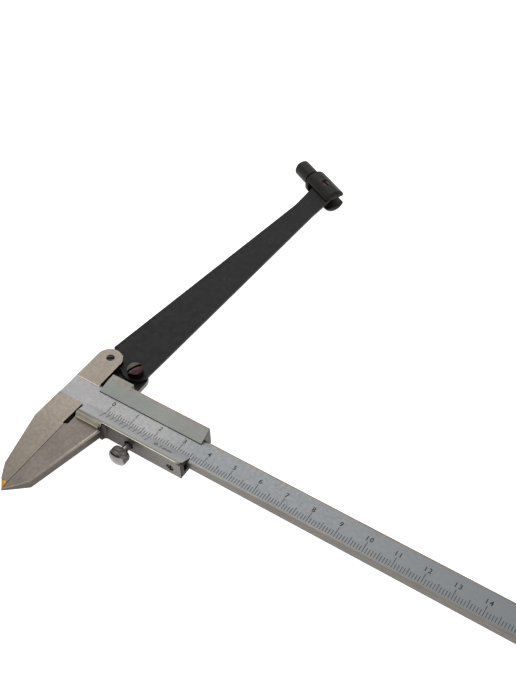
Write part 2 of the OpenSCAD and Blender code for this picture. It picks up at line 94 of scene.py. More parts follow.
class Finish(Enum):
    """The finishes of the caliper, each with the name of its material and what it gives the eye."""

    GROUND = "ground_hardened_steel"  # warm mid grey with fine lines across the jaw
    JAW = "dull_ground_jaw_steel"  # a shade darker, with the same lines
    EDGE = "jaw_chamfer_painted_highlight"  # thin lighter line along the jaw's upper edge, a painted highlight
    TOP = "ground_flange_steel"  # mid grey with lines along the flange
    SATIN = "satin_chromed_steel"  # pale, even and soft, so that the marks read
    VERNIER = "satin_vernier_steel"  # the palest face, with a warm darker line at its foot, a painted shade
    FLANGE = "satin_bevel_steel"  # pale with a green cast
    WORN = "worn_beam_bevel_steel"  # brownish, where hands have rubbed it
    SIDE = "milled_beam_side_steel"  # darker grey with clear cutter lines
    FRONT = "slider_front_painted_shade_steel"  # painted shade and reflection: near black beside the jaw, grey at the far end
    END = "milled_end_steel_painted_shade"  # milled walls painted dark as shade, that turn grey away from the beam
    RIM = "rim_steel_painted_highlight"  # narrow smooth rim, with a painted highlight as a cream line along its outer edge
    LEDGE = "yellowed_ledge_steel"  # grey with the yellow cast of old oil
    STEP = "step_wall_painted_highlight"  # low wall painted cream as a highlight, palest in a line at its foot
    BRIGHT = "lug_foot_painted_highlight"  # nearly white line at the lug's foot, a painted highlight
    GAP = "painted_shade_black_gap"  # black, painted shade of a deep slot
    POCKET = "painted_shade_dark_pocket_steel"  # brownish black, painted shade in a recess
    ARM = "blackened_spring_steel"  # nearly black and half dull, with few scratches
    CLEVIS = "oil_blackened_turned_steel"  # brownish black, a little glossier than the arm
    SCREW = "blued_screw_worn_brown"  # dark brown with a dull metal shine
    PIVOT = "blued_round_head_painted_highlight"  # dark red, with its left half painted grey as a highlight
    CHROME = "chromed_screw_dome_painted_reflection"  # mirrors the studio, with darker bands over its upper part that are a painted reflection
    KNURL = "diamond_knurled_chrome"  # glitters light and dark
    SHANK = "dark_polished_shank"  # light and dark streaks round the shank
    TIP = "gilt_hard_metal_tip"  # warm gold, satin
    BRONZE = "phosphor_bronze"  # warm brown metal
    WASHER = "plain_dark_steel"  # dull dark grey
    ENGRAVED = "black_filled_engraving"  # matt black figures
    MARK = "grey_filled_engraving"  # matt dark grey scale marks
    FAINT = "blue_grey_filled_engraving"  # matt blue-grey vernier marks


def linear(code: str) -> tuple[float, float, float, float]:
    """Turn an sRGB hex colour into linear light.

    Args:
        code: six hex digits.

    Returns:
        The colour as linear red, green, blue and an alpha of 1.
    """
    parts = [int(code[k:k + 2], 16) / 255 for k in (0, 2, 4)]
    light = [p / 12.92 if p <= 0.04045 else ((p + 0.055) / 1.055) ** 2.4 for p in parts]
    return (light[0], light[1], light[2], 1.0)


def add_node(tree: bpy.types.NodeTree, kind: str, sockets: NodeSpec | None = None,
             **settings: object) -> bpy.types.Node:
    """Add a node with its settings, and set or link its inputs.

    Args:
        tree: the node tree that gets it.
        kind: the node's type name.
        sockets: input name or index to a value, or to an output socket to link from.
        settings: the node's own properties.

    Returns:
        The new node.
    """
    made = tree.nodes.new(kind)
    for name, value in settings.items():
        setattr(made, name, value)
    for name, value in (sockets or {}).items():
        if isinstance(value, bpy.types.NodeSocket):
            tree.links.new(value, made.inputs[name])
        else:
            made.inputs[name].default_value = value
    return made


@dataclass(frozen=True)
class Fade:
    """A slow change of colour along one axis of the caliper."""

    axis: Axis
    start_mm: float
    end_mm: float
    colour: str


class Shader:
    """A node material under construction."""

    def __init__(self, finish: Finish) -> None:
        """Start an empty material that is named for its finish."""
        self.material = bpy.data.materials.new(finish.value)
        self.material.use_nodes = True
        self.tree = self.material.node_tree
        self.tree.nodes.clear()

    def add(self, kind: str, sockets: NodeSpec | None = None, **settings: object) -> bpy.types.Node:
        """Add a node to this material, as add_node() does."""
        return add_node(self.tree, kind, sockets, **settings)

    def place(self, scale: Triple = EVEN, turn: float = 0.0) -> bpy.types.NodeSocket:
        """Object coordinates in millimetres, turned about Z and stretched.

        Args:
            scale: stretch of the pattern per axis, after the turn.
            turn: turn of the pattern about Z, in degrees.

        Returns:
            The vector socket.
        """
        where = self.add("ShaderNodeTexCoord").outputs["Object"]
        turned = self.add("ShaderNodeMapping", {"Vector": where, "Rotation": (0.0, 0.0, math.radians(-turn))})
        return self.add("ShaderNodeMapping", {
            "Vector": turned.outputs[0], "Scale": tuple(s / MM for s in scale)}).outputs[0]

    def noise(self, where: bpy.types.NodeSocket, scale: float, detail: float = 3.0,
              rough: float = 0.55) -> bpy.types.NodeSocket:
        """Cloudy noise with features 1/scale mm wide."""
        return self.add("ShaderNodeTexNoise", {
            "Vector": where, "Scale": scale, "Detail": detail, "Roughness": rough}).outputs["Fac"]

    def ramp(self, fac: bpy.types.NodeSocket, low: float, high: float,
             to_low: float = 0.0, to_high: float = 1.0) -> bpy.types.NodeSocket:
        """Stretch a value from low..high to to_low..to_high, clamped."""
        return self.add("ShaderNodeMapRange", {
            "Value": fac, "From Min": low, "From Max": high, "To Min": to_low, "To Max": to_high},
            clamp=True).outputs[0]

    def mix(self, fac: bpy.types.NodeSocket, first: bpy.types.NodeSocket | str,
            second: bpy.types.NodeSocket | str) -> bpy.types.NodeSocket:
        """Mix two colours, each a socket or a hex code."""
        first, second = (linear(c) if isinstance(c, str) else c for c in (first, second))
        return self.add("ShaderNodeMix", {MIX_FACTOR: fac, MIX_FIRST: first, MIX_SECOND: second},
                        data_type="RGBA").outputs[MIX_RESULT]

    def along(self, axis: Axis) -> bpy.types.NodeSocket:
        """Place along one axis of the caliper, in millimetres."""
        where = self.add("ShaderNodeTexCoord").outputs["Object"]
        part = self.add("ShaderNodeSeparateXYZ", {0: where}).outputs[axis.value]
        return self.add("ShaderNodeMath", {0: part, 1: 1 / MM}, operation="MULTIPLY").outputs[0]

    def faded(self, base: bpy.types.NodeSocket, fades: Iterable[Fade]) -> bpy.types.NodeSocket:
        """Lay slow changes of colour over a colour."""
        for fade in fades:
            base = self.mix(self.ramp(self.along(fade.axis), fade.start_mm, fade.end_mm), base, fade.colour)
        return base

    def bump(self, height: bpy.types.NodeSocket, depth_mm: float, strength: float = 1.0) -> bpy.types.NodeSocket:
        """Relief of a given depth in millimetres."""
        return self.add("ShaderNodeBump", {
            "Height": height, "Distance": depth_mm * MM, "Strength": strength}).outputs[0]

    def surface(self, sockets: NodeSpec) -> bpy.types.Material:
        """Close the material with a Principled surface and return it."""
        lit = self.add("ShaderNodeBsdfPrincipled", sockets)
        self.add("ShaderNodeOutputMaterial", {"Surface": lit.outputs[0]})
        return self.material


@dataclass(frozen=True)
class GroundSteel:
    """Ground or milled steel: cloudy grey with fine tool lines, faint handling stains and a slow fade.

    A scale is one over a feature's width in millimetres. Real tool lines lie 0.05 mm apart. They are
    drawn 0.2 mm apart, so that they show.
    """

    finish: Finish
    light: str
    dark: str
    stain: str
    roughness: float = 0.42
    line_turn: float = 0.0
    line_depth_mm: float = 0.0012
    line_share: float = 0.16
    fades: tuple[Fade, ...] = ()
    line_colour: str = "3C3834"
    line_scale: float = 5.0
    line_stretch: float = 0.06
    haze_scale: float = 0.06
    stain_scale: float = 0.35
    stain_stretch: float = 0.8
    stain_turn: float = 31.0
    stain_band: Pair = (0.6, 0.78)
    stain_share: float = 0.35
    polish_scale: float = 0.9
    polish_turn: float = 12.0

    def build(self) -> bpy.types.Material:
        """Build the material."""
        sh = Shader(self.finish)
        lines = sh.noise(sh.place((self.line_stretch, 1.0, 1.0), self.line_turn), self.line_scale, 4.0, 0.7)
        haze = sh.noise(sh.place(), self.haze_scale, 4.0, 0.6)
        blots = sh.noise(sh.place((1.0, self.stain_stretch, 1.0), self.stain_turn), self.stain_scale, 5.0, 0.6)
        base = sh.faded(sh.mix(sh.ramp(haze, *HAZE), self.dark, self.light), self.fades)
        stained = sh.mix(sh.ramp(blots, *self.stain_band, 0.0, self.stain_share), base, self.stain)
        lined = sh.mix(sh.ramp(lines, *POLISH, 0.0, self.line_share), stained, self.line_colour)
        rough = sh.ramp(sh.noise(sh.place(turn=self.polish_turn), self.polish_scale), *POLISH,
                        self.roughness - 0.05, self.roughness + 0.07)
        return sh.surface({"Base Color": lined, "Metallic": 1.0, "Roughness": rough,
                           "Normal": sh.bump(lines, self.line_depth_mm)})


@dataclass(frozen=True)
class BlackSteel:
    """Oxide-blackened steel: nearly black, with a warm haze, few scratches to brighter steel and dusty specks.

    A scale is one over a feature's width in millimetres. The scratches are about 0.3 mm wide and 6 mm
    long, wider than real ones, so that they show.
    """

    finish: Finish
    light: str
    dark: str
    scratch: str
    roughness: float
    scratch_turn: float
    warm: str
    dust: str = "5C5B5A"
    gloss: float = 0.17
    haze_scale: float = 0.08
    warm_scale: float = 0.05
    warm_turn: float = 45.0
    warm_band: Pair = (0.5, 0.65)
    warm_share: float = 0.6
    scratch_scale: float = 3.2
    scratch_stretch: float = 0.05
    scratch_band: Pair = (0.7, 0.75)
    scratch_share: float = 0.4
    dust_scale: float = 1.1
    dust_band: Pair = (0.74, 0.78)
    dust_share: float = 0.6
    polish_scale: float = 0.5
    grain_scale: float = 6.0
    grain_mm: float = 0.004

    def build(self) -> bpy.types.Material:
        """Build the material."""
        sh = Shader(self.finish)
        even = sh.place()
        base = sh.mix(sh.ramp(sh.noise(even, self.haze_scale), *HAZE), self.dark, self.light)
        tint = sh.noise(sh.place(turn=self.warm_turn), self.warm_scale, 2.0)
        warm = sh.mix(sh.ramp(tint, *self.warm_band, 0.0, self.warm_share), base, self.warm)
        scratches = sh.noise(sh.place((1.0, self.scratch_stretch, 1.0), self.scratch_turn),
                             self.scratch_scale, 2.0, 0.5)
        worn = sh.mix(sh.ramp(scratches, *self.scratch_band, 0.0, self.scratch_share), warm, self.scratch)
        specks = sh.noise(even, self.dust_scale, 1.0)
        dusty = sh.mix(sh.ramp(specks, *self.dust_band, 0.0, self.dust_share), worn, self.dust)
        rough = sh.ramp(sh.noise(even, self.polish_scale), *POLISH, self.roughness - 0.06, self.roughness + 0.08)
        grain = sh.noise(even, self.grain_scale)
        return sh.surface({"Base Color": dusty, "Metallic": 0.0, "Roughness": rough,
                           "Specular IOR Level": self.gloss, "Normal": sh.bump(grain, self.grain_mm, 0.5)})


@dataclass(frozen=True)
class PlainMetal:
    """A bare, plated or filled surface with a slight change of colour and polish over it.

    A scale is one over a feature's width in millimetres.
    """

    finish: Finish
    light: str
    dark: str
    roughness: float
    metallic: float = 1.0
    cloud_scale: float = 0.7
    grain_mm: float = 0.001
    fades: tuple[Fade, ...] = ()
    polish_scale: float = 1.3
    dullest: float = 1.25
    shiniest: float = 0.85
    grain_scale: float = 8.0

    def build(self) -> bpy.types.Material:
        """Build the material."""
        sh = Shader(self.finish)
        even = sh.place()
        base = sh.faded(sh.mix(sh.ramp(sh.noise(even, self.cloud_scale), *HAZE), self.dark, self.light), self.fades)
        rough = sh.ramp(sh.noise(even, self.polish_scale), *POLISH,
                        self.roughness * self.shiniest, self.roughness * self.dullest)
        return sh.surface({
            "Base Color": base, "Metallic": self.metallic, "Roughness": rough,
            "Normal": sh.bump(sh.noise(even, self.grain_scale, 2.0), self.grain_mm, 0.6)})


def finishes() -> dict[Finish, bpy.types.Material]:
    """Build every material of the caliper once."""
    made = [
        GroundSteel(Finish.GROUND, "7F776D", "766E65", "77684A", 0.40, 72.0,
                    fades=(Fade(Axis.Y, -10.0, -42.0, "6A635B"),)),
        GroundSteel(Finish.JAW, "6B645E", "615A55", "6A6150", 0.42, 72.0),
        # painted highlight on the jaw's chamfer
        PlainMetal(Finish.EDGE, "8A837A", "7E776F", 0.36, 1.0, 0.5, 0.0008),
        GroundSteel(Finish.TOP, "76726D", "6B6661", "6E6552", 0.42, 0.0),
        GroundSteel(Finish.SATIN, "8B8A8A", "858484", "8C8C86", 0.46, 0.0, 0.0006, 0.1,
                    (Fade(Axis.X, 28.0, 45.0, "797C7E"),)),
        # the darker warm strip by the rim is painted shade
        GroundSteel(Finish.VERNIER, "A9A9AA", "A2A2A4", "98998F", 0.46, 0.0, 0.0006, 0.1,
                    (Fade(Axis.Y, -7.9, -8.5, "8C887C"),)),
        GroundSteel(Finish.FLANGE, "9B9D97", "90938F", "86856F", 0.44, 0.0, 0.0006, 0.12),
        GroundSteel(Finish.WORN, "837E78", "79736D", "86765E", 0.40, 0.0, 0.001, 0.2),
        GroundSteel(Finish.SIDE, "777470", "6D6965", "665D50", 0.46, 0.0, 0.002, 0.25),
        # painted shade and reflection, darkest beside the jaw and lighter along the beam
        GroundSteel(Finish.FRONT, "47413D", "423C38", "3E3732", 0.46, 0.0, 0.002, 0.2,
                    (Fade(Axis.X, 14.0, 44.0, "79746F"),)),
        # painted shade, darkest beside the beam, over a milled finish
        GroundSteel(Finish.END, "322E2B", "2B2725", "302A26", 0.50, 0.0, 0.002, 0.2,
                    (Fade(Axis.Y, 1.0, 6.0, "55524F"), Fade(Axis.Y, -11.0, -17.0, "5C5652"))),
        # the cream line along the rim's outer edge is a painted highlight
        PlainMetal(Finish.RIM, "7E7C78", "74726C", 0.36, 1.0, 0.5, 0.0008,
                   (Fade(Axis.X, 20.0, 26.0, "7F7C70"), Fade(Axis.Y, -8.9, -8.96, "C4BFB2"))),
        GroundSteel(Finish.LEDGE, "736F69", "6B675C", "7A7058", 0.40, 0.0, 0.001, 0.2),
        # the cream wall and the paler line at its foot are a painted highlight
        PlainMetal(Finish.STEP, "BDB5A2", "ACA491", 0.6, 0.25, 0.5, 0.001, (Fade(Axis.Z, 0.95, 0.6, "E6DFBE"),)),
        # nearly white painted highlight at the lug's foot
        PlainMetal(Finish.BRIGHT, "E6DEDA", "DAD2CE", 0.5, 0.25, 0.5),
        # brownish black as painted shade on low faces behind the lip, such as the lug's top under the arm
        GroundSteel(Finish.POCKET, "38332F", "282421", "2E2620", 0.5, 0.0, 0.002, 0.2),
        # black as painted shade in slots, holes and hidden walls
        PlainMetal(Finish.GAP, "120F0D", "0A0807", 0.7, 1.0, 0.8),
        BlackSteel(Finish.ARM, "151516", "111112", "3A3A3A", 0.52, 40.0, "171413"),
        BlackSteel(Finish.CLEVIS, "1A1816", "12110F", "4A483F", 0.44, 25.0, "201614", "4A4842"),
        PlainMetal(Finish.SCREW, "3E3230", "1C1514", 0.34, 0.8, 0.9),
        # the grey left half is a painted highlight on the dark red head
        PlainMetal(Finish.PIVOT, "5E5854", "47403D", 0.3, 0.8, 0.9, 0.001,
                   (Fade(Axis.X, 5.3, 6.5, "3C2628"),)),
        # the darker bands over the dome's upper part are a painted reflection
        PlainMetal(Finish.CHROME, "8C8986", "73706D", 0.12, 1.0, 0.2, 0.0003,
                   (Fade(Axis.Z, 0.1, 0.4, "2C2928"), Fade(Axis.Z, 0.8, 1.1, "6C6966"))),
        PlainMetal(Finish.KNURL, "74706E", "383533", 0.2, 1.0, 0.8, 0.0006),
        GroundSteel(Finish.SHANK, "B4B1AD", "5E5B58", "3A3634", 0.3, 90.0, 0.002, 0.8),
        PlainMetal(Finish.TIP, "CC9A4A", "AD7C34", 0.34, 1.0, 1.0),
        PlainMetal(Finish.BRONZE, "B08A4E", "8E6A38", 0.4),
        PlainMetal(Finish.WASHER, "4A4846", "343230", 0.45),
        PlainMetal(Finish.ENGRAVED, "1B1A19", "141312", 0.6, 0.0, 2.0),
        PlainMetal(Finish.MARK, "38393B", "2C2D2F", 0.6, 0.0, 2.0),
        PlainMetal(Finish.FAINT, "3A3C44", "2C2E34", 0.6, 0.0, 2.0),
    ]
    return {m.finish: m.build() for m in made}


Zone = Callable[[bmesh.types.BMFace], Finish]
Shape = Callable[[bmesh.types.BMesh], None]


def clamp(value: float) -> float:
    """Keep a share between 0 and 1."""
    return max(0.0, min(1.0, value))


def part_along(mesh: bmesh.types.BMesh, place_mm: Triple, across: Triple,
               faces: Iterable[bmesh.types.BMFace] | None = None) -> None:
    """Part a mesh, or some of its faces, along a plane.

    Args:
        mesh: the mesh, in metres.
        place_mm: a point of the plane.
        across: the plane's normal.
        faces: the faces to part, or None for all of them.
    """
    chosen = list(mesh.faces if faces is None else faces)
    edges = [edge for face in chosen for edge in face.edges]
    corners = [vert for face in chosen for vert in face.verts]
    bmesh.ops.bisect_plane(mesh, geom=list(dict.fromkeys([*chosen, *edges, *corners])), dist=WELD,
                           plane_co=Vector(place_mm) * MM, plane_no=across)


@dataclass
class Workshop:
    """Makes the caliper's pieces from meshes and hangs them on their bodies."""

    materials: dict[Finish, bpy.types.Material] = field(default_factory=finishes)
    weld_mm: float = 0.0004
    flat_deg: float = 0.6
    sharp_deg: float = 28.0

    def settle(self, name: str, mesh: bmesh.types.BMesh, body: str, coats: Iterable[Finish],
               slot: str, smooth_deg: float = SMOOTH_DEG) -> bpy.types.Object:
        """Turn a bmesh into a piece of the caliper.

        Args:
            name: the piece's name.
            mesh: its shape in the row frame, in metres; it is freed here.
            body: the CAD body that it rides on.
            coats: the finishes of its material indices, in order.
            slot: the record's material slot; not used.
            smooth_deg: edges that turn more than this stay sharp.

        Returns:
            The new object.
        """
        data = bpy.data.meshes.new(name)
        for face in mesh.faces:
            face.smooth = True
        mesh.to_mesh(data)
        mesh.free()
        data.set_sharp_from_angle(angle=math.radians(smooth_deg))
        for coat in coats:
            data.materials.append(self.materials[coat])
        made = bpy.data.objects.new(name, data)
        bpy.context.scene.collection.objects.link(made)
        even = made.modifiers.new("even_flats", "WEIGHTED_NORMAL")
        even.keep_sharp = True
        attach(made, body)
        LOG.info("%s: %d faces on body %s", name, len(data.polygons), body)
        return made

    def copy_of(self, node: str) -> bmesh.types.BMesh:
        """The CAD node's mesh with its doubles merged and its flat faces made whole."""
        mesh = bmesh.new()
        mesh.from_mesh(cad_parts[node].data)
        bmesh.ops.remove_doubles(mesh, verts=mesh.verts, dist=self.weld_mm * MM)
        bmesh.ops.dissolve_limit(mesh, angle_limit=math.radians(self.flat_deg), verts=mesh.verts,
                                 edges=mesh.edges, use_dissolve_boundaries=False, delimit={"NORMAL"})
        return mesh

    def refit(self, node: str, name: str, body: str, coats: tuple[Finish, ...], slot: str,
              edge_mm: float, zone: Zone | None = None, shape: Shape | None = None) -> bpy.types.Object:
        """Replace a CAD node by its own shape with broken edges.

        Args:
            node: the CAD node that the piece stands for.
            name: the piece's name.
            body: the node's body.
            coats: the finishes that the piece has.
            slot: the record's material slot.
            edge_mm: width of the broken edges.
            zone: tells a face's finish, asked before the edges are broken.
            shape: small corrections to the copied shape, made first.

        Returns:
            The new object.
        """
        mesh = self.copy_of(node)
        if shape:
            shape(mesh)
        if zone:
            for face in mesh.faces:
                face.material_index = coats.index(zone(face))
        sharp = [e for e in mesh.edges if len(e.link_faces) == 2
                 and e.calc_face_angle(0.0) > math.radians(self.sharp_deg)]
        bmesh.ops.bevel(mesh, geom=sharp, offset=edge_mm * MM, offset_type="OFFSET", segments=2,
                        profile=0.5, affect="EDGES", material=-1, clamp_overlap=True)
        made = self.settle(name, mesh, body, coats, slot)
        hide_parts(node)
        return made

    def coat(self, node: str, finish: Finish) -> None:
        """Give a CAD node that stays its finish."""
        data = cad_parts[node].data
        data.materials.clear()
        data.materials.append(self.materials[finish])


@dataclass
class BeamLooks:
    """Beam with head, jaw, lug and stop screw, in millimetres from the zero of the closed jaws."""

    shop: Workshop
    edge: float = 0.10
    band_half: float = 4.4
    band_top: float = 0.1
    half: float = 5.3
    head_right: float = 1.0
    lug_middle: Pair = (-5.3, 16.4)
    lug_r: float = 4.9
    lug_grow: float = 0.22
    lug_swell: float = 1.2
    lug_fade: float = 2.0
    relief_low: float = -14.7
    relief_ramp: float = 0.25
    relief_top: float = 0.25
    relief_grow: float = 0.04
    line_w: float = 0.12
    line_z: float = -0.3
    gap_z: float = -3.0
    # a strip at the lug's foot that is painted as a highlight
    strip_w: float = 0.2
    strip_z: Pair = (0.02, 0.3)

    def relieve(self, mesh: bmesh.types.BMesh) -> None:
        """Set back the jaw's inner side above the measuring face, and that face's upper edge."""
        for low in (self.relief_low, self.relief_low + self.relief_ramp):
            part_along(mesh, (0.0, low, 0.0), (0.0, 1.0, 0.0))
        for vert in mesh.verts:
            x, y, z = vert.co / MM
            if abs(x) >= NEAR or y >= NEAR - self.band_half:
                continue
            if y > self.relief_low + NEAR:
                vert.co.x -= (self.relief_top - self.relief_grow * (y + self.band_half)) * MM
            elif z > self.line_z:
                vert.co.x -= self.line_w * MM

    def fill_lug(self, mesh: bmesh.types.BMesh) -> None:
        """Fill out the lug's right side."""
        for vert in mesh.verts:
            off = vert.co.xy / MM - Vector(self.lug_middle)
            if abs(off.length - self.lug_r) < NEAR and off.x > 0:
                swell = min(off.x / self.lug_r * self.lug_swell, 1.0)
                vert.co.x += self.lug_grow * swell * clamp(off.y / self.lug_fade + 1.0) * MM

    def shape(self, mesh: bmesh.types.BMesh) -> None:
        """Correct the jaw's inner side and the lug, and part a strip at the lug's foot for a painted highlight."""
        self.relieve(mesh)
        self.fill_lug(mesh)
        top = [f for f in mesh.faces if f.normal.z > FLAT and f.calc_center_median().z > self.band_top * MM
               and f.calc_center_median().y > self.band_half * MM]
        part_along(mesh, (0.0, self.band_half + self.strip_w, 0.0), (0.0, 1.0, 0.0), top)

    def zone(self, face: bmesh.types.BMFace) -> Finish:
        """Tell a face's finish by its slope and its place."""
        turn, middle = face.normal, face.calc_center_median() / MM
        low, high = self.strip_z
        at_foot = abs(middle.y - self.band_half) < self.strip_w and low < middle.z < high
        # the lug's foot is painted nearly white as a highlight
        if at_foot and middle.x < self.head_right and (turn.y < -TILTED or turn.z > FLAT):
            return Finish.BRIGHT
        if turn.z > FLAT and middle.z < self.band_top and abs(middle.y) < self.band_half + NEAR:
            return Finish.SATIN
        if TILTED < turn.z < 0.99 and abs(middle.y) < self.half:
            return Finish.WORN
        # the head's wall facing the slider is painted black as shade
        in_gap = abs(middle.x) < self.head_right and middle.z > self.gap_z and middle.y > self.relief_low
        if turn.x > STEEP and in_gap:
            return Finish.GAP
        return Finish.GROUND if turn.z > TILTED else Finish.SIDE

    def build(self) -> None:
        """Dress the beam and what is fixed to it."""
        self.shop.refit("beam", "ground_beam", "beam",
                        (Finish.GROUND, Finish.SATIN, Finish.WORN, Finish.SIDE, Finish.GAP, Finish.BRIGHT),
                        "ground_steel", self.edge, self.zone, self.shape)
        self.shop.refit("scriber_tip", "gilt_tip", "beam", (Finish.TIP,), "hard_tip", edge_mm=0.05)
        self.shop.refit("stop_screw", "lug_stop_screw", "beam", (Finish.SCREW,), "dark_screw", edge_mm=0.06)
        self.shop.coat("end_stop", Finish.SATIN)
        self.shop.coat("end_stop_screws", Finish.SCREW)


@dataclass
class SliderLooks:
    """Slider with jaw, vernier, gib and screws, in millimetres from the zero of the closed jaws."""

    shop: Workshop
    edge: float = 0.12
    chamfer: float = 0.3
    front_y: float = -9.05
    rise: float = 2.8
    top_band: float = 0.3
    lip_y: float = 3.0
    pocket_z: float = -0.5
    lug_z: float = -3.0
    lug_y: float = 9.0
    root_x: float = 12.4
    jaw_high: float = -12.0
    step_right: float = 9.0
    step_low: float = 0.4
    step_foot: float = -10.2
    ledge_y: float = -9.8
    ledge_z: float = 0.5
    screw_x: Pair = (23.0, 40.1)
    screw_z: float = -1.9
    hole_r: float = 1.95
    hole_y: Pair = (-9.0, -6.5)
    slope_low: float = -8.75
    slope_top: float = -8.55
    slope_z: float = 0.12
    slope: float = 0.4504
    slope_near: float = 0.04
    slope_turn: Pair = (0.3, 0.97)
    foot_low: float = -5.0
    foot_z: Pair = (-0.2, 0.1)
    thin_from: float = -2.6
    thin_to: float = -3.4
    left_from: float = 1.2
    left_to: float = 1.75
    left_low: float = -10.2
    left_high: float = 10.5
    flange_left: float = 2.3
    pivot: Pair = PIVOT_AT
    pivot_r: float = 2.55
    pivot_dome: float = 0.55
    dome_cuts: int = 4
    dome_near: float = 0.02
    rim_w: float = 0.1

    def shape(self, mesh: bmesh.types.BMesh) -> None:
        """Set the vernier's thin edge, the left end and the ledge's foot, part the top face, break the jaw's edge."""
        shrink = (self.thin_to - self.slope_top) / (self.thin_from - self.slope_top)
        for vert in mesh.verts:
            x, y, z = vert.co / MM
            on_slope = abs(z - self.slope_z - (self.thin_from - y) * self.slope) < self.slope_near
            at_foot = self.foot_z[0] < z < self.foot_z[1] and y > self.foot_low
            if self.slope_top + 0.01 < y < self.thin_from + NEAR and (on_slope or at_foot):
                vert.co.y = (self.slope_top + (y - self.slope_top) * shrink) * MM
            if abs(x - self.left_from) < NEAR and self.left_low < y < self.left_high:
                end = self.left_to if y < 0 else self.flange_left
                vert.co.x += (end - self.left_from) * clamp(z / self.rise) * MM
            if abs(y - self.ledge_y) < NEAR and z < self.ledge_z and x < self.root_x + NEAR:
                vert.co.y = self.step_foot * MM
        top = [f for f in mesh.faces if f.normal.z > FLAT and f.calc_center_median().y < 0
               and f.calc_center_median().z > (self.rise - self.top_band) * MM]
        part_along(mesh, (self.root_x, 0.0, 0.0), (1.0, 0.0, 0.0), top)
        outer = [e for e in mesh.edges if len(e.link_faces) == 2 and self.outer_edge(*e.link_faces)]
        bmesh.ops.bevel(mesh, geom=outer, offset=self.chamfer * MM, offset_type="OFFSET", segments=1,
                        profile=0.5, affect="EDGES", material=-1, clamp_overlap=True)

    def outer_edge(self, one: bmesh.types.BMFace, two: bmesh.types.BMFace) -> bool:
        """Tell whether the jaw's top face and an outer side of the jaw meet here."""
        top, side = (one, two) if one.normal.z > two.normal.z else (two, one)
        return (top.normal.z > FLAT and abs(side.normal.z) < 0.3 and side.normal.x > 0.1
                and side.calc_center_median().y < self.jaw_high * MM)

    def dome(self, mesh: bmesh.types.BMesh) -> None:
        """Round the pivot screw's head, so that its slot shows as an arc."""
        middle = Vector((*self.pivot, 0.0)) * MM
        near = self.dome_near * MM
        rim = max(v.co.z for v in mesh.verts if (v.co - middle).xy.length > (self.pivot_r - self.rim_w) * MM)
        for k in range(-self.dome_cuts, self.dome_cuts + 1):
            step = self.pivot_r * k / (self.dome_cuts + 0.5)
            for across in ((1.0, 0.0, 0.0), (0.0, 1.0, 0.0)):
                top = [f for f in mesh.faces if f.normal.z > FLAT and min(v.co.z for v in f.verts) > rim - near]
                part_along(mesh, tuple(Vector((*self.pivot, 0.0)) + Vector(across) * step), across, top)
        for vert in mesh.verts:
            share = (vert.co - middle).xy.length / (self.pivot_r * MM)
            if vert.co.z > rim - near and share < 1:
                vert.co.z = rim + self.pivot_dome * (1 - share ** 2) * MM

    def level_zone(self, middle: Vector) -> Finish:
        """Tell the finish of a level face by its middle."""
        # low level faces are painted dark as shade: brownish black behind the lip, black in front of it
        if middle.z < self.pocket_z:
            return Finish.POCKET if middle.y > self.lip_y else Finish.GAP
        if middle.y > 0:
            return Finish.TOP
        if middle.z > self.rise - self.top_band:
            return Finish.LEDGE if middle.x < self.root_x else Finish.RIM
        return Finish.JAW

    def front_zone(self, middle: Vector) -> Finish:
        """Tell the finish of a face that looks to the front by its middle."""
        # the low wall in front of the jaw's root is painted cream as a highlight
        if middle.x < self.step_right and middle.z > self.step_low and middle.y < self.front_y:
            return Finish.STEP
        # the slider's front gets painted shade that lightens along the beam
        return Finish.FRONT if middle.y > self.jaw_high and middle.x > self.step_right else Finish.SIDE

    def in_gap(self, turn: Vector, middle: Vector) -> bool:
        """Tell whether a face is the slot's wall behind the beam or lies in a screw's hole; such faces are painted
        black as shade.
        """
        if turn.y < -STEEP and abs(middle.y - self.lip_y) < NEAR and middle.z > 0:
            return True
        return self.hole_y[0] < middle.y < self.hole_y[1] and any(
            math.hypot(middle.x - x, middle.z - self.screw_z) < self.hole_r for x in self.screw_x)

    def zone(self, face: bmesh.types.BMFace) -> Finish:
        """Tell a face's finish by its slope and its place."""
        turn, middle = face.normal, face.calc_center_median() / MM
        low, high = self.slope_turn
        if low < turn.z < high and middle.y > self.slope_low:
            return Finish.FLANGE if middle.y > 0 else Finish.VERNIER
        if turn.z > FLAT:
            return self.level_zone(middle)
        if turn.z > low:
            # the jaw's chamfer is painted lighter as a highlight
            return Finish.EDGE if middle.y < self.jaw_high else Finish.JAW
        if self.in_gap(turn, middle):
            return Finish.GAP
        if turn.y < -STEEP:
            return self.front_zone(middle)
        on_lug = middle.z < self.lug_z and middle.y > self.lug_y
        # walls across the beam get the dark end finish, a painted shade, except on the lug
        return Finish.END if abs(turn.x) > STEEP and not on_lug else Finish.SIDE

    def build(self) -> None:
        """Dress the slider and what is fixed to it."""
        self.shop.refit("slider", "vernier_slider", "slider",
                        (Finish.JAW, Finish.VERNIER, Finish.FLANGE, Finish.TOP, Finish.FRONT, Finish.END,
                         Finish.RIM, Finish.LEDGE, Finish.GAP, Finish.SIDE, Finish.STEP, Finish.EDGE,
                         Finish.POCKET),
                        "satin_steel", self.edge, self.zone, self.shape)
        self.shop.refit("gib_screw", "gib_set_screw", "slider", (Finish.SCREW,), "dark_screw", edge_mm=0.05)
        # the pivot screw's side wall is painted black as shade
        self.shop.refit("pivot_screw", "arm_pivot_screw", "slider", (Finish.PIVOT, Finish.GAP), "dark_screw",
                        edge_mm=0.08, shape=self.dome,
                        zone=lambda face: Finish.PIVOT if face.normal.z > 0.3 else Finish.GAP)
        self.shop.coat("gib", Finish.BRONZE)
        self.shop.coat("clamp_pad", Finish.BRONZE)
        self.shop.coat("pivot_washer", Finish.WASHER)


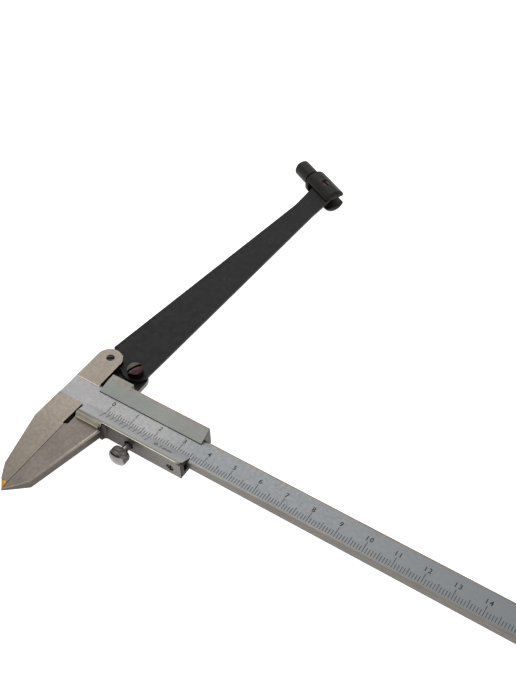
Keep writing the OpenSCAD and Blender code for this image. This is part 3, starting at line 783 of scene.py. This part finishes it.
@dataclass
class ClampScrew:
    """Knurled thumb screw, turned about its own axis and then laid along -Y."""

    shop: Workshop
    axis_x: float = 23.0
    axis_z: float = -1.9
    head_y: float = -12.55
    inner_y: float = -7.08
    shank_r: float = 1.25
    shank_lead: float = 0.2
    shank_top: float = -0.3
    head_r: float = 3.45
    head_h: float = 3.3
    chamfer: float = 0.3
    dome: float = 1.2
    dome_steps: int = 7
    neck_r: float = 1.95
    neck_h: float = 0.25
    diamonds: int = 26
    rows: int = 6
    groove: float = 0.17
    near: float = 0.01
    smooth_deg: float = 24.0

    def profile(self) -> list[tuple[float, float]]:
        """Radius and height of the turned outline, from the shank's end to the dome's middle."""
        face_r = self.head_r - self.chamfer
        ball_r = (face_r ** 2 + self.dome ** 2) / (2 * self.dome)
        turn = math.asin(face_r / ball_r)
        low = self.inner_y - self.head_y
        points = [(0.0, -low), (self.shank_r - self.shank_lead, -low), (self.shank_r, self.shank_lead - low),
                  (self.shank_r, -self.neck_h), (self.neck_r, 0.0), (face_r, 0.0)]
        band = self.head_h - 2 * self.chamfer
        points += [(self.head_r, self.chamfer + band * k / self.rows) for k in range(self.rows + 1)]
        points.append((face_r, self.head_h))
        for k in range(self.dome_steps - 1, -1, -1):
            bend = turn * k / self.dome_steps
            points.append((ball_r * math.sin(bend), self.head_h + self.dome - ball_r * (1 - math.cos(bend))))
        return points

    def turned(self) -> bmesh.types.BMesh:
        """The screw's turned body, standing on +Z, in millimetres."""
        mesh = bmesh.new()
        line = [mesh.verts.new((r, 0.0, h)) for r, h in self.profile()]
        edges = [mesh.edges.new(pair) for pair in zip(line, line[1:])]
        bmesh.ops.spin(mesh, geom=line + edges, cent=(0, 0, 0), axis=(0, 0, 1), angle=math.tau,
                       steps=2 * self.diamonds, use_merge=True, use_duplicate=False)
        bmesh.ops.remove_doubles(mesh, verts=mesh.verts, dist=1e-4)
        bmesh.ops.recalc_face_normals(mesh, faces=mesh.faces)
        return mesh

    def knurl(self, mesh: bmesh.types.BMesh) -> None:
        """Press crossed grooves into the rim, so that every second point stays high."""
        pitch = (self.head_h - 2 * self.chamfer) / self.rows
        low = []
        for vert in mesh.verts:
            radius = math.hypot(vert.co.x, vert.co.y)
            row = (vert.co.z - self.chamfer) / pitch
            if abs(radius - self.head_r) > self.near or not -self.near < row < self.rows + self.near:
                continue
            column = round(math.atan2(vert.co.y, vert.co.x) / math.pi * self.diamonds)
            ends = round(row) in (0, self.rows)
            if (round(row) + column) % 2 or ends:
                vert.co.xy *= (self.head_r - self.groove) / self.head_r
            if (round(row) + column) % 2:
                low.append(vert)
        bmesh.ops.connect_verts(mesh, verts=low)

    def build(self) -> None:
        """Make the screw and put it in the slider's side."""
        mesh = self.turned()
        self.knurl(mesh)
        coats = (Finish.CHROME, Finish.KNURL, Finish.SHANK)
        for face in mesh.faces:
            middle = face.calc_center_median()
            on_rim = middle.xy.length > self.head_r - 2 * self.groove and 0 < middle.z < self.head_h
            coat = Finish.SHANK if middle.z < self.shank_top else Finish.KNURL if on_rim else Finish.CHROME
            face.material_index = coats.index(coat)
        place = Matrix.Translation(Vector((self.axis_x, self.head_y, self.axis_z)) * MM) @ Matrix.Rotation(
            math.pi / 2, 4, "X") @ Matrix.Scale(MM, 4)
        bmesh.ops.transform(mesh, matrix=place, verts=mesh.verts)
        made = self.shop.settle("knurled_clamp_screw", mesh, "clamp_screw", coats, "bright_chrome",
                                self.smooth_deg)
        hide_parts("clamp_screw")


@dataclass
class ArmLooks:
    """Arm, clevis and stud, in millimetres from the arm's pivot."""

    shop: Workshop
    pivot: Pair = PIVOT_AT
    lean_deg: float = 5.3
    web: float = 3.1
    web_low: float = -3.0
    web_full: float = 1.4
    web_high: float = 4.1
    web_left: float = -7.0
    web_right: float = -2.0
    hole_r: float = 3.0
    slot_turn: float = -55.6

    def shape(self, mesh: bmesh.types.BMesh) -> None:
        """Widen the arm's root beneath the fixed lug, clear of the stop screw's sweep."""
        lean = math.radians(self.lean_deg)
        across = Vector((math.cos(lean), -math.sin(lean), 0.0))
        along = Vector((math.sin(lean), math.cos(lean), 0.0))
        for vert in mesh.verts:
            off = vert.co / MM - Vector((*self.pivot, 0.0))
            u, v = off.dot(across), off.dot(along)
            in_web = self.web_left < u < self.web_right and self.web_low < v < self.web_high
            if in_web and math.hypot(u, v) > self.hole_r:
                share = min((v - self.web_low) / (self.web_full - self.web_low), 1.0)
                vert.co -= across * self.web * MM * share * share * (3 - 2 * share)

    def turn_slot(self, mesh: bmesh.types.BMesh) -> None:
        """Turn the clevis screw about its own axis, until its slot lies as in the photograph."""
        ends = [[pick(v.co[k] for v in mesh.verts) for k in range(3)] for pick in (min, max)]
        bmesh.ops.rotate(mesh, verts=mesh.verts, cent=(Vector(ends[0]) + Vector(ends[1])) / 2,
                         matrix=Matrix.Rotation(math.radians(self.slot_turn), 3, "Z"))

    def build(self) -> None:
        """Dress the arm and the clevis at its end."""
        self.shop.refit("arm", "side_arm", "arm", (Finish.ARM,), "black_steel", edge_mm=0.12, shape=self.shape)
        self.shop.refit("clevis", "forked_clevis", "clevis", (Finish.CLEVIS,), "black_fork", edge_mm=0.15)
        self.shop.refit("stud", "clevis_stud", "clevis", (Finish.CLEVIS,), "black_fork", edge_mm=0.1)
        self.shop.refit("clevis_screw", "clevis_pin_screw", "clevis", (Finish.SCREW,), "dark_screw",
                        edge_mm=0.06, shape=self.turn_slot)
        self.shop.coat("clevis_washer", Finish.WASHER)
        self.shop.coat("clevis_spacer", Finish.WASHER)


@dataclass
class Engraving:
    """Engraved and filled scale marks and figures, as thin inlays that stand in the surface."""

    shop: Workshop
    zero_x: float = 9.1
    travel_mm: int = 150
    line_w: float = 0.25
    proud: float = 0.012
    mark_low: float = -4.155
    cm_top: float = -0.235
    half_top: float = -1.25
    mm_top: float = -2.05
    figure_h: float = 1.8
    figure_y: float = 0.3
    figure_gap: float = 1.22
    slope_y: float = -3.4
    slope_z: float = 0.12
    slope: float = 0.5204
    vernier_parts: int = 10
    vernier_pitch: float = 1.9
    vernier_low: float = -5.7
    vernier_long: float = -6.7
    vernier_start: float = 0.1
    unit_place: Pair = (31.4, -6.2)
    unit_h: float = 1.7
    unit_gap: float = 1.18
    fat: float = 0.035
    unit_fat: float = 0.06

    def bar(self, mesh: bmesh.types.BMesh, frame_of: Matrix, length: float, width: float) -> None:
        """One scale mark that starts at a frame's origin and runs along its Y axis."""
        place = frame_of @ Matrix.Translation(Vector((0.0, length / 2, self.proud / 2)) * MM) @ Matrix.Diagonal(
            (width * MM, length * MM, self.proud * MM, 1.0))
        bmesh.ops.create_cube(mesh, size=1.0, matrix=place)

    def words(self, mesh: bmesh.types.BMesh, text: str, height: float, place: Matrix, fat: float,
              gap: float, align: str = "CENTER") -> None:
        """Figures as flat solids.

        Args:
            mesh: where they are added.
            text: the figures.
            height: the figures' height in millimetres.
            place: their place, in metres.
            fat: how much the strokes are thickened on each side, in millimetres.
            gap: spacing of the figures, where 1 is normal.
            align: which end of the text stands at the place.
        """
        curve = bpy.data.curves.new("figures", "FONT")
        curve.body = text
        curve.size = height / TYPE_HEIGHT * MM
        curve.align_x = align
        curve.align_y = "BOTTOM_BASELINE"
        curve.space_character = gap
        curve.offset = fat * MM
        curve.extrude = self.proud * MM / 2
        curve.resolution_u = 3
        holder = bpy.data.objects.new("figures", curve)
        bpy.context.scene.collection.objects.link(holder)
        bpy.context.view_layer.update()
        flat = bpy.data.meshes.new_from_object(holder.evaluated_get(bpy.context.evaluated_depsgraph_get()))
        bpy.data.objects.remove(holder)
        flat.transform(place)
        mesh.from_mesh(flat)
        bpy.data.meshes.remove(flat)

    def main_scale(self) -> None:
        """Millimetre scale of the beam with its centimetre figures."""
        mesh = bmesh.new()
        for mm in range(self.travel_mm + 1):
            top = self.cm_top if mm % 10 == 0 else self.half_top if mm % 5 == 0 else self.mm_top
            start = Matrix.Translation(Vector((self.zero_x + mm, self.mark_low, 0.0)) * MM)
            self.bar(mesh, start, top - self.mark_low, self.line_w)
        marks = len(mesh.faces)
        for cm in range(self.travel_mm // 10 + 1):
            place = Matrix.Translation(Vector((self.zero_x + 10 * cm, self.figure_y, self.proud / 2)) * MM)
            self.words(mesh, str(cm), self.figure_h, place, self.fat, self.figure_gap)
        mesh.faces.ensure_lookup_table()
        coats = (Finish.MARK, Finish.ENGRAVED)
        for face in mesh.faces[marks:]:
            face.material_index = coats.index(Finish.ENGRAVED)
        self.shop.settle("beam_scale", mesh, "beam", coats, "dark_screw")

    def on_slope(self, x: float, y: float) -> Matrix:
        """A frame on the vernier's slope, with its Y axis down the slope towards the beam's scale."""
        z = self.slope_z + (self.slope_y - y) * self.slope
        return Matrix.Translation(Vector((x, y, z)) * MM) @ Matrix.Rotation(-math.atan(self.slope), 4, "X")

    def vernier(self) -> None:
        """Eleven vernier marks over nineteen millimetres, and the reading's unit."""
        mesh = bmesh.new()
        stretch = math.hypot(1.0, self.slope)
        for k in range(self.vernier_parts + 1):
            low = self.vernier_long if k % 5 == 0 else self.vernier_low
            length = (self.slope_y - self.vernier_start - low) * stretch
            self.bar(mesh, self.on_slope(self.zero_x + self.vernier_pitch * k, low), length, self.line_w)
        raised = Matrix.Translation((0.0, 0.0, self.proud / 2 * MM))
        self.words(mesh, "0.1mm", self.unit_h, self.on_slope(*self.unit_place) @ raised,
                   self.unit_fat, self.unit_gap, "LEFT")
        self.shop.settle("vernier_scale", mesh, "slider", (Finish.FAINT,), "dark_screw")

    def build(self) -> None:
        """Engrave beam and vernier."""
        self.main_scale()
        self.vernier()


@dataclass(frozen=True)
class Lamp:
    """A square soft lamp: its place and width in metres, and its power in watts."""

    name: str
    place: Triple
    size: float
    power: float

    def build(self, aim: Triple) -> None:
        """Hang the lamp so that it faces a point."""
        data = bpy.data.lights.new(self.name, "AREA")
        data.shape = "SQUARE"
        data.size = self.size
        data.energy = self.power
        made = bpy.data.objects.new(self.name, data)
        made.location = self.place
        made.rotation_euler = (Vector(aim) - Vector(self.place)).to_track_quat("-Z", "Y").to_euler()
        bpy.context.scene.collection.objects.link(made)


@dataclass
class Studio:
    """Camera, lamps, pale floor and white surroundings."""

    floor_z: float = -8.35
    floor_half: float = 3.0
    floor_paint: str = "EDEDED"
    floor_glow: float = 0.85
    sky: str = "FFFFFF"
    sky_light: float = 0.72
    aim: Triple = (0.05, 0.04, 0.0)
    lamps: tuple[Lamp, ...] = (Lamp("key_lamp", (-0.25, 0.35, 0.6), 0.45, 1.3),
                               Lamp("fill_lamp", (0.5, -0.3, 0.5), 0.5, 0.6))
    focal_px: float = 1040.38
    sensor: float = 36.0
    clip: Pair = (0.01, 10.0)
    eye: Triple = (175.7155, -159.3215, 278.5972)
    right: Triple = (0.84018240, 0.54216112, -0.01244421)
    down: Triple = (0.39468818, -0.62705958, -0.67157838)
    ahead: Triple = (-0.37190695, 0.55933675, -0.74082901)

    def camera(self) -> None:
        """The photograph's camera, fitted to the engraved scale."""
        data = bpy.data.cameras.new("photo_camera")
        data.sensor_width = self.sensor
        data.sensor_fit = "AUTO"
        data.lens = self.focal_px * self.sensor / max(IMAGE_SIZE)
        data.clip_start, data.clip_end = self.clip
        made = bpy.data.objects.new("photo_camera", data)
        axes = [Vector(self.right), -Vector(self.down), -Vector(self.ahead)]
        turn = Matrix([[axes[c][r] for c in range(3)] for r in range(3)]).to_4x4()
        made.matrix_world = Matrix.Translation(Vector(self.eye) * MM) @ turn
        bpy.context.scene.collection.objects.link(made)
        bpy.context.scene.camera = made

    def seen(self, tree: bpy.types.NodeTree) -> bpy.types.NodeSocket:
        """1 where the camera, a mirror or a clear piece shows the surface, else 0."""
        path = add_node(tree, "ShaderNodeLightPath")
        found = path.outputs["Is Camera Ray"]
        for ray in ("Is Glossy Ray", "Is Transmission Ray"):
            found = add_node(tree, "ShaderNodeMath", {0: found, 1: path.outputs[ray]}, operation="MAXIMUM").outputs[0]
        return found

    def floor(self) -> None:
        """Pale floor that keeps the shadow and shows white."""
        mesh = bmesh.new()
        bmesh.ops.create_grid(mesh, x_segments=1, y_segments=1, size=self.floor_half,
                              matrix=Matrix.Translation((0.0, 0.0, self.floor_z * MM)))
        data = bpy.data.meshes.new("floor")
        mesh.to_mesh(data)
        mesh.free()
        paint = bpy.data.materials.new("white_studio_floor")
        paint.use_nodes = True
        tree = paint.node_tree
        tree.nodes.clear()
        matt = add_node(tree, "ShaderNodeBsdfDiffuse", {"Color": linear(self.floor_paint)})
        strength = add_node(tree, "ShaderNodeMath", {0: self.seen(tree), 1: self.floor_glow}, operation="MULTIPLY")
        glow = add_node(tree, "ShaderNodeEmission", {"Strength": strength.outputs[0]})
        both = add_node(tree, "ShaderNodeAddShader", {0: matt.outputs[0], 1: glow.outputs[0]})
        add_node(tree, "ShaderNodeOutputMaterial", {"Surface": both.outputs[0]})
        data.materials.append(paint)
        made = bpy.data.objects.new("floor", data)
        bpy.context.scene.collection.objects.link(made)
        made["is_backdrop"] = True

    def world(self) -> None:
        """White surroundings, dimmer as a lamp than as a background."""
        made = bpy.data.worlds.new("studio")
        bpy.context.scene.world = made
        made.use_nodes = True
        tree = made.node_tree
        tree.nodes.clear()
        dim, white = (add_node(tree, "ShaderNodeBackground", {"Color": linear(self.sky), "Strength": light})
                      for light in (self.sky_light, 1.0))
        shown = add_node(tree, "ShaderNodeMixShader", {
            0: self.seen(tree), 1: dim.outputs[0], 2: white.outputs[0]})
        add_node(tree, "ShaderNodeOutputWorld", {"Surface": shown.outputs[0]})

    def build(self) -> None:
        """Set up the whole studio."""
        bpy.context.scene.view_settings.view_transform = "Standard"
        self.camera()
        self.floor()
        self.world()
        for lamp in self.lamps:
            lamp.build(self.aim)


def corners() -> list[list[float]]:
    """The shown object's box as plain lists."""
    return [list(corner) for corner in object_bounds()]


def main() -> None:
    """Build the caliper's looks and the studio."""
    logging.basicConfig(level=logging.INFO, format="%(name)s %(message)s")
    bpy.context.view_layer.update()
    shop = Workshop()
    for part in (BeamLooks(shop), SliderLooks(shop), ClampScrew(shop), ArmLooks(shop), Engraving(shop)):
        part.build()
        LOG.info("%s built", type(part).__name__)
    Studio().build()


if __name__ == "__main__":
    main()
